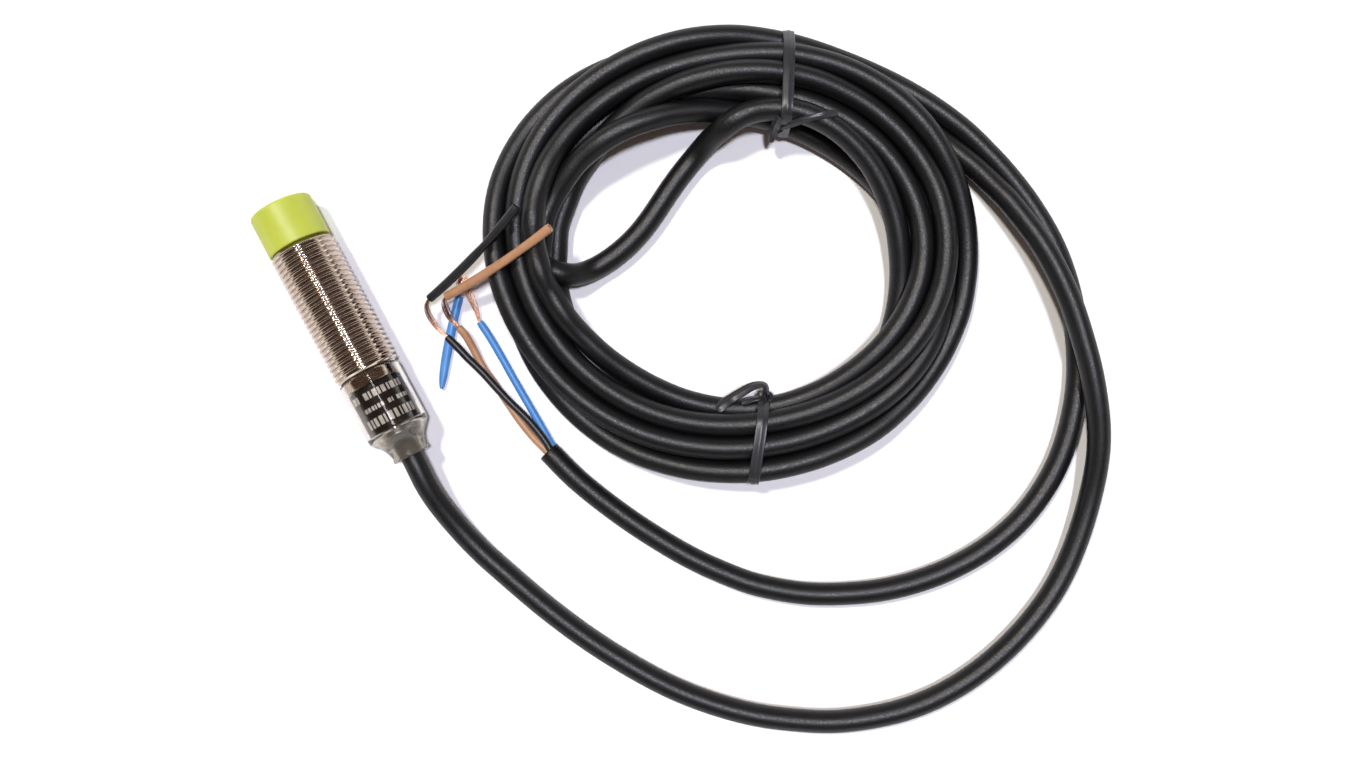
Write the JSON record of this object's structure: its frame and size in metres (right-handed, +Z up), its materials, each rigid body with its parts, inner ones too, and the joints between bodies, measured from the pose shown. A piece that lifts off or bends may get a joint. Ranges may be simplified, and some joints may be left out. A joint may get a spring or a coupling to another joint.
{
  "type": "proximity sensor",
  "caption": "Cylindrical inductive proximity sensor with an M12 threaded metal barrel, a protruding plastic sensing cap, a clear rear cover and a coiled lead with stripped wire ends.",
  "frame": {"origin": "on the surface that the sensor lies on, under the middle of its length, without its lead", "axes": "+X along the barrel towards the sensing face, +Z up from the surface, +Y sideways, away from the coiled lead"},
  "size_m": [0.1379, 0.1301, 0.0136],
  "materials": {
    "cap_plastic": "moulded PBT, yellow green, fine satin skin",
    "nickel_brass": "machined brass, nickel plated, bright",
    "clear_cover": "smoky clear moulded polyamide, glossy",
    "label_film": "black printed film with plain light bars",
    "pvc_jacket": "black PVC, satin, fine grain",
    "pvc_brown": "brown PVC insulation",
    "pvc_blue": "blue PVC insulation",
    "pvc_black": "black PVC insulation",
    "copper": "bare copper",
    "ferrite": "sintered ferrite, dull dark grey",
    "bobbin_nylon": "natural nylon",
    "board_laminate": "glass epoxy board with green mask",
    "chip_epoxy": "moulded black epoxy package",
    "ceramic": "fired ceramic capacitor body",
    "led_lens": "clear red lens",
    "potting_resin": "cast dark epoxy",
    "zinc_steel": "zinc plated steel",
    "tie_plastic": "plastic covered wire tie, satin"
  },
  "bodies": {
    "sensor": {"sensing_cap": "cap_plastic", "ferrite_core": "ferrite", "coil_bobbin": "bobbin_nylon", "sensing_coil": "copper", "coil_lead_a": "copper", "coil_lead_b": "copper", "threaded_barrel": "nickel_brass", "circuit_board": "board_laminate", "oscillator_ic": "chip_epoxy", "output_transistor": "chip_epoxy", "protection_diode": "chip_epoxy", "supply_capacitor": "ceramic", "filter_capacitor": "ceramic", "tuning_capacitor": "ceramic", "bias_resistor_1": "chip_epoxy", "bias_resistor_2": "chip_epoxy", "led_resistor": "chip_epoxy", "indicator_led": "led_lens", "potting_resin": "potting_resin", "rear_cover": "clear_cover", "label_sleeve": "label_film", "cable_clamp": "zinc_steel", "jacket_inner_end": "pvc_jacket", "core_stub_brown": "pvc_brown", "core_stub_black": "pvc_black", "core_stub_blue": "pvc_blue", "cable_tail_sensor": "pvc_jacket", "cable_coil": "pvc_jacket", "cable_inner_loop": "pvc_jacket", "cable_tail_wires": "pvc_jacket", "tie_top": "tie_plastic", "tie_bottom": "tie_plastic", "core_brown": "pvc_brown", "core_blue": "pvc_blue", "core_black": "pvc_black", "strands_brown": "copper", "strands_blue": "copper", "strands_black": "copper"},
    "black_slug": {"slug_black": "pvc_black"},
    "brown_slug": {"slug_brown": "pvc_brown"},
    "blue_slug": {"slug_blue": "pvc_blue"}
  },
  "joints": [
    {"name": "black_slug_pull", "type": "slide", "parent": "sensor", "child": "black_slug", "axis": [0.2592, -0.928, 0.2675], "range_m": [0, 0.018]},
    {"name": "brown_slug_pull", "type": "slide", "parent": "sensor", "child": "brown_slug", "axis": [0.0457, -0.9518, 0.3034], "range_m": [0, 0.018]},
    {"name": "blue_slug_pull", "type": "slide", "parent": "sensor", "child": "blue_slug", "axis": [-0.7775, 0.6289, 0], "range_m": [0, 0.013]}
  ]
}
